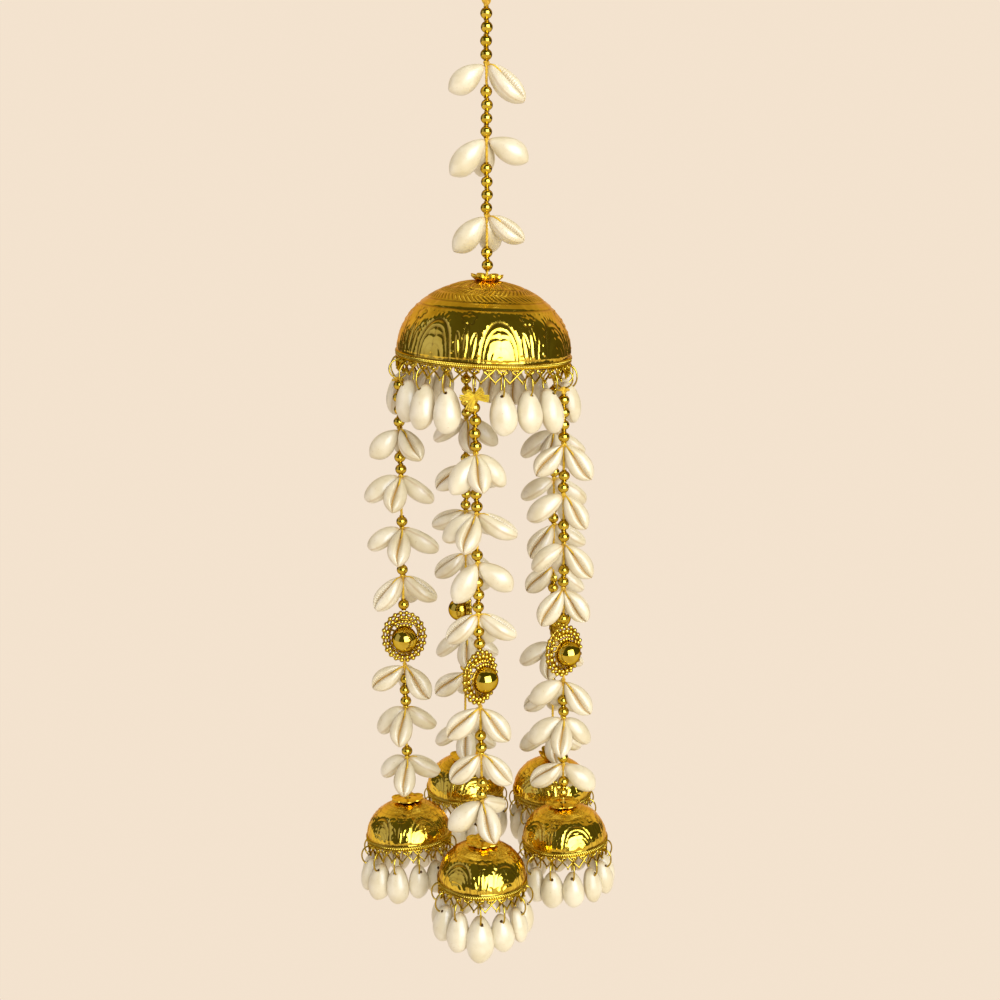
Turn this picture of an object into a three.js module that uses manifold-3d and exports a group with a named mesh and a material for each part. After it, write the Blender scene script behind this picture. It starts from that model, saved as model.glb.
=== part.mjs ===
// Kalira: a bridal ornament of gold-plated beads, engraved domes and cowrie shells on thread.
// It hangs by a thread loop. Millimetres, +Z up, front towards -Y.
// The origin is the inside of the loop's top, where it rests on whatever it hangs from.
import * as THREE from "three";
import { mergeVertices } from "three/addons/utils/BufferGeometryUtils.js";
import Module from "manifold-3d";

const wasm = await Module();
wasm.setup();

// ---- Driving dimensions ----
const GAP = 0.3; // clearance between pieces that touch
const degree = Math.PI / 180;

const loop = { width: 12, height: 17, thread: 2.2, knot: 6 };
const bead = { diameter: 5, pitch: 5.6, neck: 1.8 };
const thread = { diameter: 1.4, knot: 3.2, endKnot: 4.4 };
const cowrie = { length: 20, width: 11.8, back: 5.2, base: 3.2 };
const jumpRing = { inside: 7.6, wire: 0.8 };
const shellHole = { fromTip: 2.8, inset: 1.5 }; // where a hanging cowrie is drilled

const mainDome = {
  top: -139, radius: 40, height: 32.4, wall: 0.8, hole: 1.5, bandHeight: 2.6, bandOut: 0.5,
  wireRadius: 39.5, wire: 0.9, hangers: 20, sides: 20, rows: 5,
  wireDrops: [3, 6.2, -0.25, 6.2], // down from the band, for each hanger: it hooks over the first
};
const smallDome = {
  radius: 20.3, height: 16.2, wall: 0.8, hole: 1.4, bandHeight: 2.2, bandOut: 0.4,
  wireRadius: 19.8, wire: 0.8, hangers: 12, sides: 16, rows: 3,
  wireDrops: [3.4, -0.25],
};
const mainTilt = { front: 2.4 * degree, right: 2.7 * degree }; // how low it hangs on those sides
const firstHanger = -5 * degree; // azimuth of hanger 0, measured from the front towards +X

const cap = { hole: 1.3, base: 4, rim: 6.6, rise: 2.8, sheet: 0.7, petals: 6 };
const rosette = { width: 22, height: 24.6, sheet: 1.8, band: 3.9, lobes: 12, lobe: 1, ball: 10.4 };

// Top thread: each run is a number of beads above a bunch of shells.
// heights are those of the first bead and of the knot; each shell is a row of
// azimuth, fall from straight down, roll about its own length, and length.
const topRuns = [
  { beads: 4, first: -26.8, knot: -47.1,
    shells: [[-88, 55, 75, 18.5], [86, 46, 25, 21.5]] },
  { beads: 4, first: -58.8, knot: -78.6,
    shells: [[-84, 50, 80, 20.5], [92, 62, -70, 19.5], [-165, 38, 0, 18.5]] },
  { beads: 4, first: -91.3, knot: -111.8,
    shells: [[-92, 50, 75, 19.5], [88, 59, 30, 18.8], [172, 34, 0, 18.5]] },
  { beads: 2, first: -126.9, knot: null, shells: [] },
];

// Five strands. hanger: which of the main dome's hangers carries it.
// x, y, foot: where the crown of its dome hangs. lean, roll: how far the dome's foot swings
// to the front, and how low its right side hangs, in degrees.
// faces: azimuth that its rosette faces. rosette, bunches: their heights, from the top down.
// beads: how many lie above each of bunches 1 to 4, the rosette, bunches 5 to 7 and the dome.
// third: azimuths of each bunch's third shell.
const strands = [
  { name: "front", hanger: 0, x: -2, y: -45, foot: -393.2, lean: 5, roll: 1,
    faces: 45, rosette: -313.8, bunches: [-213.1, -239.6, -261.3, -284.9, -328.5, -350.7, -373.3],
    beads: [4, 2, 1, 3, 2, 0, 2, 2, 0], third: [12, -14, 172, 160, 178, -170, 14] },
  { name: "right", hanger: 4, x: 36.6, y: -15, foot: -389.5, lean: 6, roll: -3,
    faces: 48, rosette: -311.2, bunches: [-213, -236.4, -259.6, -281.1, -326.7, -345.4, -369],
    beads: [4, 2, 2, 2, 1, 0, 2, 1, 0], third: [170, 165, -172, 176, -165, 172, 168] },
  { name: "back_right", hanger: 7, x: 33.6, y: 34, foot: -388.9, lean: 0, roll: 0,
    faces: 100, rosette: -309, bunches: [-213, -236.6, -260.2, -282.2, -323.9, -349.5, -371.5],
    beads: [4, 1, 2, 1, 2, 0, 2, 1, 0], third: [-10, 165, 8, 174, -12, 170, 10] },
  { name: "back_left", hanger: 11, x: -12.8, y: 43.5, foot: -392, lean: 0, roll: 0,
    faces: -72, rosette: -308.1, bunches: [-209.5, -232.5, -256.8, -279.2, -323.2, -344.4, -374.5],
    beads: [4, 2, 2, 1, 1, 0, 2, 1, 0], third: [15, 170, -8, 168, 12, -174, 8] },
  { name: "left", hanger: 16, x: -39.2, y: -12, foot: -388.6, lean: 9, roll: -2,
    faces: 4, rosette: -305.7, bunches: [-206.9, -228.9, -253.5, -276.6, -320.5, -341.6, -367.2],
    beads: [4, 2, 1, 1, 1, 0, 3, 1, 0], third: [16, -6, 2, 165, 172, -8, -6] },
];
const bunch = { length: 17.6, sideAzimuth: 98, sideFall: 53, thirdFall: 37 };
const fringe = { length: 18.4, frontLength: 21 }; // the front strand's middle cowrie is a large one

// ---- Making and joining solids ----
function solid(geometry, matrix) {
  const plain = geometry.clone();
  plain.deleteAttribute("normal");
  plain.deleteAttribute("uv");
  if (matrix) plain.applyMatrix4(matrix);
  const merged = mergeVertices(plain, 1e-4);
  const index = merged.index.array;
  const kept = [];
  for (let i = 0; i < index.length; i += 3) {
    const [a, b, c] = [index[i], index[i + 1], index[i + 2]];
    if (a !== b && b !== c && c !== a) kept.push(a, b, c);
  }
  return new wasm.Manifold(new wasm.Mesh({
    numProp: 3,
    vertProperties: new Float32Array(merged.attributes.position.array),
    triVerts: new Uint32Array(kept),
  }));
}

function join(solids) {
  return solids.reduce((whole, next) => whole.add(next));
}

function geometryOf(body) {
  const mesh = body.getMesh();
  const geometry = new THREE.BufferGeometry();
  geometry.setAttribute("position", new THREE.BufferAttribute(new Float32Array(mesh.vertProperties), 3));
  geometry.setIndex(new THREE.BufferAttribute(new Uint32Array(mesh.triVerts), 1));
  geometry.computeVertexNormals();
  return geometry;
}

// A profile of [radius, height] pairs turned about Z. Azimuth 0 is the front.
function turned(profile, sides, start = 0) {
  const points = profile.map(([radius, height]) => new THREE.Vector2(radius, height));
  return new THREE.LatheGeometry(points, sides, start).rotateX(Math.PI / 2);
}

// Points of a profile [radius, height] shared by a dome's outer and inner faces.
function domeArc(radius, height, hole, rows) {
  const first = Math.asin(hole / radius);
  return Array.from({ length: rows + 1 }, (_, row) => {
    const angle = first + (Math.PI / 2 - first) * (row / rows);
    return [radius * Math.sin(angle), -height * (1 - Math.cos(angle))];
  });
}

// ---- Materials ----
const gold = new THREE.MeshStandardMaterial({ color: 0xc9971c, roughness: 0.18, metalness: 1 });
const shellWhite = new THREE.MeshStandardMaterial({ color: 0xefe6cf, roughness: 0.3, metalness: 0 });
const yellowThread = new THREE.MeshStandardMaterial({ color: 0xd8b400, roughness: 0.9, metalness: 0 });

const kalira = new THREE.Group();

function addPiece(name, body, material, parent = kalira) {
  const mesh = new THREE.Mesh(geometryOf(body), material);
  mesh.name = name;
  parent.add(mesh);
  return mesh;
}

// ---- Cowrie: narrow tip at the origin, length along -Z, mouth side towards -Y ----
function cowrieGeometry(length, width, fine = false) {
  const outline = fine
    ? [[0, -1], [0.66, -0.93], [1, -0.62], [0.62, -0.2], [0, 0]]
    : [[0, -1], [1, -0.76], [0.8, -0.36], [0, 0]];
  const geometry = turned(outline, fine ? 6 : 4, Math.PI / (fine ? 6 : 4));
  const acrossSides = fine ? 1 : Math.SQRT1_2;
  const size = length / cowrie.length;
  const position = geometry.attributes.position;
  for (let i = 0; i < position.count; i += 1) {
    const side = position.getY(i) < 0 ? cowrie.base : cowrie.back;
    position.setX(i, position.getX(i) * (width / 2 / acrossSides));
    position.setY(i, position.getY(i) * side * size * 1.1);
    position.setZ(i, position.getZ(i) * length);
  }
  return geometry;
}

// A shell tied by its tip: it points to an azimuth and falls outwards by an angle from plumb.
function tiedShell(azimuth, fall, roll, length, reach, height) {
  const placed = new THREE.Matrix4().makeTranslation(0, 0, height)
    .multiply(new THREE.Matrix4().makeRotationZ(azimuth * degree))
    .multiply(new THREE.Matrix4().makeTranslation(0, -reach, 0))
    .multiply(new THREE.Matrix4().makeRotationX(-fall * degree))
    .multiply(new THREE.Matrix4().makeRotationZ(roll * degree));
  const width = cowrie.width * (length / cowrie.length) ** 0.5;
  return { width, placed };
}

// ---- Jump ring with its cowrie. The origin is the top of the wire that it hangs from. ----
function ringGeometry(segments) {
  const radius = (jumpRing.inside + jumpRing.wire) / 2;
  return new THREE.TorusGeometry(radius, jumpRing.wire / 2, 3, segments)
    .rotateY(Math.PI / 2)
    .translate(0, 0, GAP - jumpRing.inside / 2);
}
const ringFoot = GAP - jumpRing.inside - jumpRing.wire / 2;

function drop(lean, length, width, fine) {
  const placed = new THREE.Matrix4().makeTranslation(0, 0, ringFoot)
    .multiply(new THREE.Matrix4().makeRotationX(-lean))
    .multiply(new THREE.Matrix4().makeTranslation(0, shellHole.inset, shellHole.fromTip))
    .multiply(new THREE.Matrix4().makeRotationZ(Math.PI));
  return solid(ringGeometry(fine ? 6 : 4)).add(solid(cowrieGeometry(length, width, fine), placed));
}

// ---- Beads, knots and thread in one turned profile ----
// marks: rows of kind and height, from the top down. The profile is turned from the foot up.
function stringSolid(top, foot, marks) {
  const radius = thread.diameter / 2;
  const profile = [[0, top], [radius, top]];
  for (const { kind, height } of marks) {
    if (kind === "bead") {
      const half = bead.pitch / 2;
      profile.push([bead.neck / 2, height + half]);
      profile.push([bead.diameter * 0.47, height + half * 0.45]);
      profile.push([bead.diameter * 0.47, height - half * 0.45]);
      profile.push([bead.neck / 2, height - half]);
    } else {
      profile.push([radius, height + 1.6]);
      profile.push([(kind === "end" ? thread.endKnot : thread.knot) / 2, height]);
      profile.push([radius, height - 1.6]);
    }
  }
  profile.push([radius, foot], [0, foot]);
  return solid(turned(profile.reverse(), 5));
}

function beadMarks(count, lowest) {
  return Array.from({ length: count }, (_, i) => (
    { kind: "bead", height: lowest + (count - 1 - i) * bead.pitch }));
}

// ---- Petal cap: its seat is the origin ----
function capSolid() {
  const { hole, base, rim, rise, sheet, petals } = cap;
  const profile = [[hole, 0], [base, 0.1], [rim, rise], [base - 0.4, sheet + 0.2], [hole, sheet], [hole, 0]];
  const geometry = turned(profile, petals * 2);
  const position = geometry.attributes.position;
  for (let i = 0; i < position.count; i += 1) {
    const [x, y] = [position.getX(i), position.getY(i)];
    const beyond = Math.max(0, Math.hypot(x, y) - base) / (rim - base);
    const petal = 1 + 0.12 * beyond * Math.cos(petals * Math.atan2(x, -y));
    position.setXY(i, x * petal, y * petal);
  }
  return solid(geometry.translate(0, 0, GAP));
}

// ---- Dome with its rim band and zigzag gallery, soldered. The top of the crown is the origin. ----
function domeSolid(dome) {
  const outer = domeArc(dome.radius, dome.height, dome.hole, dome.rows);
  const inner = domeArc(dome.radius - dome.wall, dome.height - dome.wall, dome.hole, dome.rows - 1)
    .map(([radius, height]) => [radius, height - dome.wall]);
  const bandTop = -dome.height;
  const bandFoot = bandTop - dome.bandHeight;
  const band = [[dome.radius + dome.bandOut, bandTop], [dome.radius + dome.bandOut, bandFoot],
    [dome.radius - dome.wall, bandFoot]];
  const profile = [...outer, ...band, ...inner.reverse(), outer[0]].reverse();
  const shell = solid(turned(profile, dome.sides));

  const half = dome.wire / 2;
  const bends = dome.wireDrops.length;
  const section = [[-half, -half], [half, -half], [0, half], [-half, -half]];
  const wire = turned(section.map(([out, up]) => [dome.wireRadius + out, up]), dome.hangers * bends);
  const position = wire.attributes.position;
  const step = (2 * Math.PI) / (dome.hangers * bends);
  for (let i = 0; i < position.count; i += 1) {
    const turn = Math.round(Math.atan2(position.getX(i), -position.getY(i)) / step);
    const drop = dome.wireDrops[(turn + dome.hangers * bends) % bends];
    position.setZ(i, position.getZ(i) + bandFoot - drop);
  }
  return shell.add(solid(wire));
}

// Top of the wire that hanger number `index` hooks over, in the dome's own frame.
function hangerPoint(dome, index, phase) {
  const azimuth = (index * 2 * Math.PI) / dome.hangers + phase;
  const height = -dome.height - dome.bandHeight - dome.wireDrops[0] + dome.wire / 2;
  return {
    azimuth,
    point: new THREE.Vector3(dome.wireRadius * Math.sin(azimuth), -dome.wireRadius * Math.cos(azimuth), height),
  };
}

// ---- Rosette: an oval filigree ring with a ball on its face. Centred, facing -Y. ----
function rosetteSolid() {
  const outline = new THREE.Shape();
  const steps = rosette.lobes * 2;
  for (let i = 0; i < steps; i += 1) {
    const angle = (i / steps) * 2 * Math.PI;
    const out = i % 2 === 0 ? 0 : -rosette.lobe;
    const x = (rosette.width / 2 + out) * Math.sin(angle);
    const y = (rosette.height / 2 + out) * Math.cos(angle);
    if (i === 0) outline.moveTo(x, y);
    else outline.lineTo(x, y);
  }
  const plate = new THREE.ExtrudeGeometry(outline, { depth: rosette.sheet, bevelEnabled: false, steps: 1 })
    .translate(0, 0, -rosette.sheet / 2).rotateX(Math.PI / 2);
  const hole = turned([[0, -rosette.sheet], [1, -rosette.sheet], [1, rosette.sheet], [0, rosette.sheet]], 10)
    .scale(rosette.width / 2 - rosette.band, rosette.height / 2 - rosette.band, 1).rotateX(Math.PI / 2);
  const ball = new THREE.SphereGeometry(rosette.ball / 2, 7, 5)
    .translate(0, -2.6, -0.8);
  const seatHeight = rosette.height - rosette.band;
  const seat = new THREE.BoxGeometry(2.4, rosette.sheet, seatHeight);
  return join([solid(plate).subtract(solid(hole)), solid(ball), solid(seat)]);
}

// ---- The loop that it hangs by ----
const loopKnotHeight = -loop.height - loop.knot / 2;
const loopRing = new THREE.TorusGeometry((loop.width + loop.thread) / 2, loop.thread / 2, 5, 14)
  .rotateX(Math.PI / 2)
  .scale(1, 1, (loop.height + loop.thread) / (loop.width + loop.thread))
  .translate(0, 0, -loop.height / 2);
const loopKnot = new THREE.SphereGeometry(loop.knot / 2, 7, 5).rotateX(Math.PI / 2)
  .translate(0, 0, loopKnotHeight);
addPiece("tie_loop", solid(loopRing).add(solid(loopKnot)), yellowThread);

// ---- Top thread: bead runs and the shells tied between them ----
let topShells = 0;
topRuns.forEach((run, number) => {
  const last = run.first - (run.beads - 1) * bead.pitch;
  const marks = beadMarks(run.beads, last);
  if (run.knot !== null) marks.push({ kind: "knot", height: run.knot });
  else marks.push({ kind: "end", height: mainDome.top - mainDome.wall - 2.6 });
  const top = number === 0 ? loopKnotHeight - loop.knot / 2 - GAP : run.first + bead.pitch / 2;
  const next = topRuns[number + 1];
  const foot = next ? next.first + bead.pitch / 2 + GAP : mainDome.top - mainDome.wall - 4.4;
  addPiece(`top_beads_${number + 1}`, stringSolid(top, foot, marks), gold);
  for (const [azimuth, fall, roll, length] of run.shells) {
    const { width, placed } = tiedShell(azimuth, fall, roll, length, thread.knot / 2 + GAP, run.knot - 0.6);
    topShells += 1;
    addPiece(`top_shell_${topShells}`, solid(cowrieGeometry(length, width, true), placed), shellWhite);
  }
});

// ---- Main dome, its cap and its hanging cowries ----
const mainGroup = new THREE.Group();
mainGroup.position.z = mainDome.top;
mainGroup.rotation.set(mainTilt.front, mainTilt.right, 0);
mainGroup.updateMatrixWorld();
kalira.add(mainGroup);
addPiece("top_cap", capSolid(), gold, mainGroup);
addPiece("main_dome", domeSolid(mainDome), gold, mainGroup).rotation.z = firstHanger;

function mainHanger(index) {
  const { azimuth, point } = hangerPoint(mainDome, index, firstHanger);
  return { azimuth, point: point.applyMatrix4(mainGroup.matrixWorld) };
}

const strandHangers = new Set(strands.map((strand) => strand.hanger));
let drops = 0;
for (let index = 0; index < mainDome.hangers; index += 1) {
  if (!strandHangers.has(index)) {
    const { azimuth, point } = mainHanger(index);
    drops += 1;
    const lean = (13 + 3 * Math.cos(index * 2.4)) * degree;
    const body = drop(lean, cowrie.length * (1 + 0.04 * Math.cos(index * 1.7)), 11.2, true);
    const piece = addPiece(`main_drop_${drops}`, body, shellWhite);
    piece.position.copy(point);
    piece.rotation.z = azimuth;
  }
}

// ---- Strands ----
const down = new THREE.Vector3(0, 0, -1);

function strandShells(strand, heights, firstBunch) {
  return heights.flatMap((height, i) => {
    const number = firstBunch + i;
    const third = strand.third[number];
    const turn = 7 * Math.sin(number * 2.1 + strand.hanger);
    const rows = [
      [-bunch.sideAzimuth + turn, bunch.sideFall + 3 * Math.cos(number + strand.hanger), 8],
      [bunch.sideAzimuth + turn, bunch.sideFall - 3 * Math.cos(number * 2 + strand.hanger), -8],
      [third, bunch.thirdFall, 0],
    ];
    return rows.map(([azimuth, fall, roll], row) => {
      const length = bunch.length * (1 + 0.04 * Math.cos(number * 3 + row * 2 + strand.hanger));
      const { width, placed } = tiedShell(azimuth, fall, roll, length, 1, height - 0.5);
      return solid(cowrieGeometry(length, width), placed);
    });
  });
}

function makeStrand(strand) {
  const { azimuth, point } = mainHanger(strand.hanger);
  const foot = new THREE.Vector3(strand.x, strand.y, strand.foot);
  const line = foot.clone().sub(point);
  const length = line.length();
  const group = new THREE.Group();
  group.position.copy(point);
  group.quaternion.setFromUnitVectors(down, line.normalize());
  kalira.add(group);

  // Heights down the strand are measured along it, from the wire that it hangs from.
  const toLocal = (height) => -(length * (point.z - height)) / (point.z - foot.z);
  const footLocal = -length;
  const upperBunches = strand.bunches.slice(0, 4).map(toLocal);
  const lowerBunches = strand.bunches.slice(4).map(toLocal);
  const rosetteHeight = toLocal(strand.rosette);
  const aboveKnot = 3.6;

  const upperMarks = upperBunches.flatMap((height, i) => [
    ...beadMarks(strand.beads[i], height + aboveKnot), { kind: "knot", height }]);
  const rosetteTop = rosetteHeight + rosette.height / 2;
  upperMarks.push(...beadMarks(strand.beads[4], rosetteTop + bead.pitch / 2 + 2 * GAP));
  const ring = solid(ringGeometry(6)).rotate([0, 0, (azimuth / degree)]);
  const upper = stringSolid(ringFoot + 0.3, rosetteTop + GAP, upperMarks);
  const upperShells = strandShells(strand, upperBunches, 0);
  addPiece(`upper_string_${strand.name}`, join([ring, upper, ...upperShells]), shellWhite, group);

  const plate = addPiece(`rosette_${strand.name}`, rosetteSolid(), gold, group);
  plate.position.z = rosetteHeight;
  plate.rotation.z = strand.faces * degree;

  const lowerMarks = lowerBunches.flatMap((height, i) => [
    ...beadMarks(strand.beads[5 + i], height + aboveKnot), { kind: "knot", height }]);
  const endKnot = footLocal - smallDome.wall - 2.9;
  lowerMarks.push(...beadMarks(strand.beads[8], footLocal + 6), { kind: "end", height: endKnot });
  const rosetteFoot = rosetteHeight - rosette.height / 2;
  const lowerString = stringSolid(rosetteFoot - GAP, endKnot - 1.8, lowerMarks);
  const lowerShells = strandShells(strand, lowerBunches, 4);
  addPiece(`lower_string_${strand.name}`, join([lowerString, ...lowerShells]), shellWhite, group);
}

// ---- Small domes: each hangs from its own top, so it can lean ----
function makeSmallDome(strand) {
  const group = new THREE.Group();
  group.position.set(strand.x, strand.y, strand.foot);
  group.rotation.set(-strand.lean * degree, strand.roll * degree, 0);
  group.updateMatrixWorld();
  kalira.add(group);
  addPiece(`cap_${strand.name}`, capSolid(), gold, group);
  const outwards = Math.atan2(strand.x, -strand.y);
  addPiece(`dome_${strand.name}`, domeSolid(smallDome), gold, group).rotation.z = outwards;

  const pieces = [];
  for (let index = 0; index < smallDome.hangers; index += 1) {
    const hanger = hangerPoint(smallDome, index, outwards);
    const place = hanger.point.applyMatrix4(group.matrixWorld);
    const room = Math.min(...strands.filter((other) => other !== strand)
      .map((other) => Math.hypot(place.x - other.x, place.y - other.y)));
    const lean = 15 * THREE.MathUtils.clamp((room - 27) / 18, 0, 1) * degree;
    const size = strand.name === "front" && index === 0 ? fringe.frontLength : fringe.length;
    const belly = 0.76 * size - shellHole.fromTip;
    const bellyRadius = smallDome.wireRadius - shellHole.inset + belly * Math.sin(lean);
    const width = 2 * bellyRadius * Math.sin(Math.PI / smallDome.hangers) / 0.94 + 0.8;
    const matrix = new THREE.Matrix4().makeTranslation(place.x, place.y, place.z)
      .multiply(new THREE.Matrix4().makeRotationZ(hanger.azimuth));
    pieces.push(drop(lean, size, width, false).transform(matrix.toArray()));
  }
  addPiece(`fringe_${strand.name}`, join(pieces), shellWhite);
}

strands.forEach(makeStrand);
strands.forEach(makeSmallDome);

export default kalira;
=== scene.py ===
"""A kalira: a bride's hanging ornament of gold-plated beads, chased domes and cowrie shells.

Every piece is worked in millimetres from the hang point, the inside of the tie loop's top,
and is turned to metres when it is finished. +Z is up and the front is towards -Y.
"""
import math

import bmesh
import bpy
from mathutils import Matrix, Vector, noise


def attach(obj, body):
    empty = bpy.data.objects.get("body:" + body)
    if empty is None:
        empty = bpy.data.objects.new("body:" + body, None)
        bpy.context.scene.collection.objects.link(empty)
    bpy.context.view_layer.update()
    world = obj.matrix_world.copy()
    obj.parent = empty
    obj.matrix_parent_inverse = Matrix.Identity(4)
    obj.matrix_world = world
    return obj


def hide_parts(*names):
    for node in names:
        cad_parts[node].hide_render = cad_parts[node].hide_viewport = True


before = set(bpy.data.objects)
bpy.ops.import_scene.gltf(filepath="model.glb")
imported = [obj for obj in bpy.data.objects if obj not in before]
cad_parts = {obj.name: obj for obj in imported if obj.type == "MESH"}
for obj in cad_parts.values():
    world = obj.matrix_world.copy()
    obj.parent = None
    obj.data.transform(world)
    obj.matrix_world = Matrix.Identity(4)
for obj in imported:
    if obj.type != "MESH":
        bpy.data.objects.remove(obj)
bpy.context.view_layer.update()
scene = bpy.context.scene
scene.view_settings.view_transform = "Standard"


# ---- Camera ----
# In front of the ornament, level with its upper third and looking a little down.
camera = bpy.data.objects.new("camera", bpy.data.cameras.new("camera"))
camera.data.sensor_width = 36
camera.data.lens = 41.04
camera.location = (0.0059, -0.525, -0.1267)
camera.rotation_euler = (math.radians(90 - 12.35), 0, 0)
scene.collection.objects.link(camera)
scene.camera = camera


# ---- Studio ----
# A pale peach floor below the ornament that fades into a background of the same colour.
# A big soft window stands in front on the right, with a cool glint that only reflections show.
# The rest of the room in front is dark, so that polished metal shows olive shadow.
PALE = (0.90, 0.765, 0.62)

floor = bpy.data.objects.new("floor", bpy.data.meshes.new("floor"))
floor_shape = bmesh.new()
bmesh.ops.create_circle(floor_shape, cap_ends=True, radius=4.5, segments=96)
bmesh.ops.translate(floor_shape, vec=(0, 0, -0.80), verts=floor_shape.verts)
floor_shape.to_mesh(floor.data)
floor_shape.free()
scene.collection.objects.link(floor)


def feed(tree, node, inputs):
    """Sets a node's inputs, each to a value or to a link from another node's output."""
    for name, value in inputs.items():
        if isinstance(value, bpy.types.NodeSocket):
            tree.links.new(value, node.inputs[name])
        else:
            node.inputs[name].default_value = value


def add_node(tree, kind, inputs=None, **settings):
    """A new shader node with its settings and inputs."""
    node = tree.nodes.new("ShaderNode" + kind)
    for name, value in settings.items():
        setattr(node, name, value)
    feed(tree, node, inputs or {})
    return node


def calculated(tree, operation, *values):
    """The result of a sum on numbers or outputs."""
    return add_node(tree, "Math", dict(enumerate(values)), operation=operation).outputs["Value"]


def ranged(tree, value, low, high, most=1.0, easing="SMOOTHSTEP"):
    """A mask that rises from 0 to most as value goes from low to high."""
    sockets = {"Value": value, "From Min": low, "From Max": high, "To Max": most}
    return add_node(tree, "MapRange", sockets, interpolation_type=easing).outputs["Result"]


def mixed(tree, mask, first, second):
    """A colour that goes from first to second with the mask."""
    sockets = {"Factor": mask}
    for name, colour in (("A", first), ("B", second)):
        sockets[name] = (*colour, 1) if isinstance(colour, tuple) else colour
    return add_node(tree, "Mix", sockets, data_type="RGBA").outputs["Result"]


floor_paint = bpy.data.materials.new("floor_paint")
floor_paint.use_nodes = True
ground = floor_paint.node_tree
paint = ground.nodes["Principled BSDF"]
feed(ground, paint, {"Base Color": (0.88, 0.79, 0.70, 1), "Roughness": 0.85})
glow = add_node(ground, "Emission", {"Color": (*PALE, 1)})
place = add_node(ground, "TexCoord")
reach = add_node(ground, "VectorMath", {0: place.outputs["Object"]}, operation="LENGTH")
blend = add_node(ground, "MixShader", {"Fac": ranged(ground, reach.outputs["Value"], -0.1, 0.8),
                                       1: paint.outputs["BSDF"], 2: glow.outputs["Emission"]})
feed(ground, ground.nodes["Material Output"], {"Surface": blend.outputs["Shader"]})
floor.data.materials.append(floor_paint)

# The dark part of the room reaches from the floor to overhead, and round past both sides.
scene.world = bpy.data.worlds.new("studio")
scene.world.use_nodes = True
room = scene.world.node_tree
room.nodes.clear()
direction = add_node(room, "TexCoord")
split = add_node(room, "SeparateXYZ", {"Vector": direction.outputs["Generated"]})
upwards = split.outputs["Z"]
backwards = calculated(room, "MULTIPLY_ADD", upwards, 0.857, split.outputs["Y"])
bright_side = mixed(room, ranged(room, upwards, 0.2, 0.95), (0.82, 0.61, 0.33), (0.40, 0.29, 0.10))
mirrored = mixed(room, ranged(room, backwards, 0.76, 0.88), (0.090, 0.086, 0.032), bright_side)
fill = mixed(room, ranged(room, upwards, -0.4, 0.8), (0.51, 0.45, 0.35), (0.62, 0.57, 0.46))
seen = add_node(room, "LightPath")
sky = mixed(room, seen.outputs["Is Diffuse Ray"], mirrored, fill)
sky = mixed(room, seen.outputs["Is Camera Ray"], sky, PALE)
surround = add_node(room, "Background", {"Color": sky})
add_node(room, "OutputWorld", {"Surface": surround.outputs["Background"]})
MIDDLE = Vector((0, 0, -0.22))


def at_azimuth(azimuth, radius, height):
    """A point round the upright axis, its azimuth in radians from the front towards +X."""
    return Vector((radius * math.sin(azimuth), -radius * math.cos(azimuth), height))


def soft_light(name, azimuth, elevation, distance, width, height, power, colour):
    """A rectangular soft light that faces the middle of the ornament."""
    lamp = bpy.data.objects.new(name, bpy.data.lights.new(name, "AREA"))
    lamp.data.shape = "RECTANGLE"
    lamp.data.size, lamp.data.size_y = width, height
    lamp.data.energy = power
    lamp.data.color = colour
    rise = math.radians(elevation)
    lamp.location = at_azimuth(math.radians(azimuth), math.cos(rise) * distance,
                               MIDDLE.z + distance * math.sin(rise))
    aim = MIDDLE - lamp.location
    lamp.rotation_euler = aim.to_track_quat("-Z", "Y").to_euler()
    scene.collection.objects.link(lamp)
    return lamp


soft_light("window", 28, 18, 1.4, 1.45, 1.35, 21.5, (1, 0.97, 0.90))
soft_light("window_glint", 28, 18, 1.39, 1.35, 1.25, 27, (0.45, 0.62, 1)).visible_diffuse = False
soft_light("pale_wall", -74, 16, 1.5, 1.34, 1.4, 3.0, (0.84, 0.84, 1.5))


# ---- Tie loop ----
# Thick yellow cotton thread, four plies twisted and tied in a loop under the bangle.
# Its knot is drawn tight above the first bead and the cut ends stick out of it.
def wires(bm, runs, radius, sides=8, closed=False):
    """Adds round wires or plies of one radius along runs of points."""
    curve = bpy.data.curves.new("wire", "CURVE")
    curve.dimensions = "3D"
    curve.bevel_depth = radius
    curve.bevel_resolution = sides // 2 - 2
    curve.use_fill_caps = True
    for run in runs:
        spline = curve.splines.new("POLY")
        spline.points.add(len(run) - 1)
        for point, place in zip(spline.points, run):
            point.co = (*place, 1)
        spline.use_cyclic_u = closed
    holder = bpy.data.objects.new("wire", curve)
    start = len(bm.verts)
    bm.from_mesh(holder.to_mesh())
    holder.to_mesh_clear()
    bpy.data.objects.remove(holder)
    bpy.data.curves.remove(curve)
    bm.verts.ensure_lookup_table()
    return bm.verts[start:]


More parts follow.
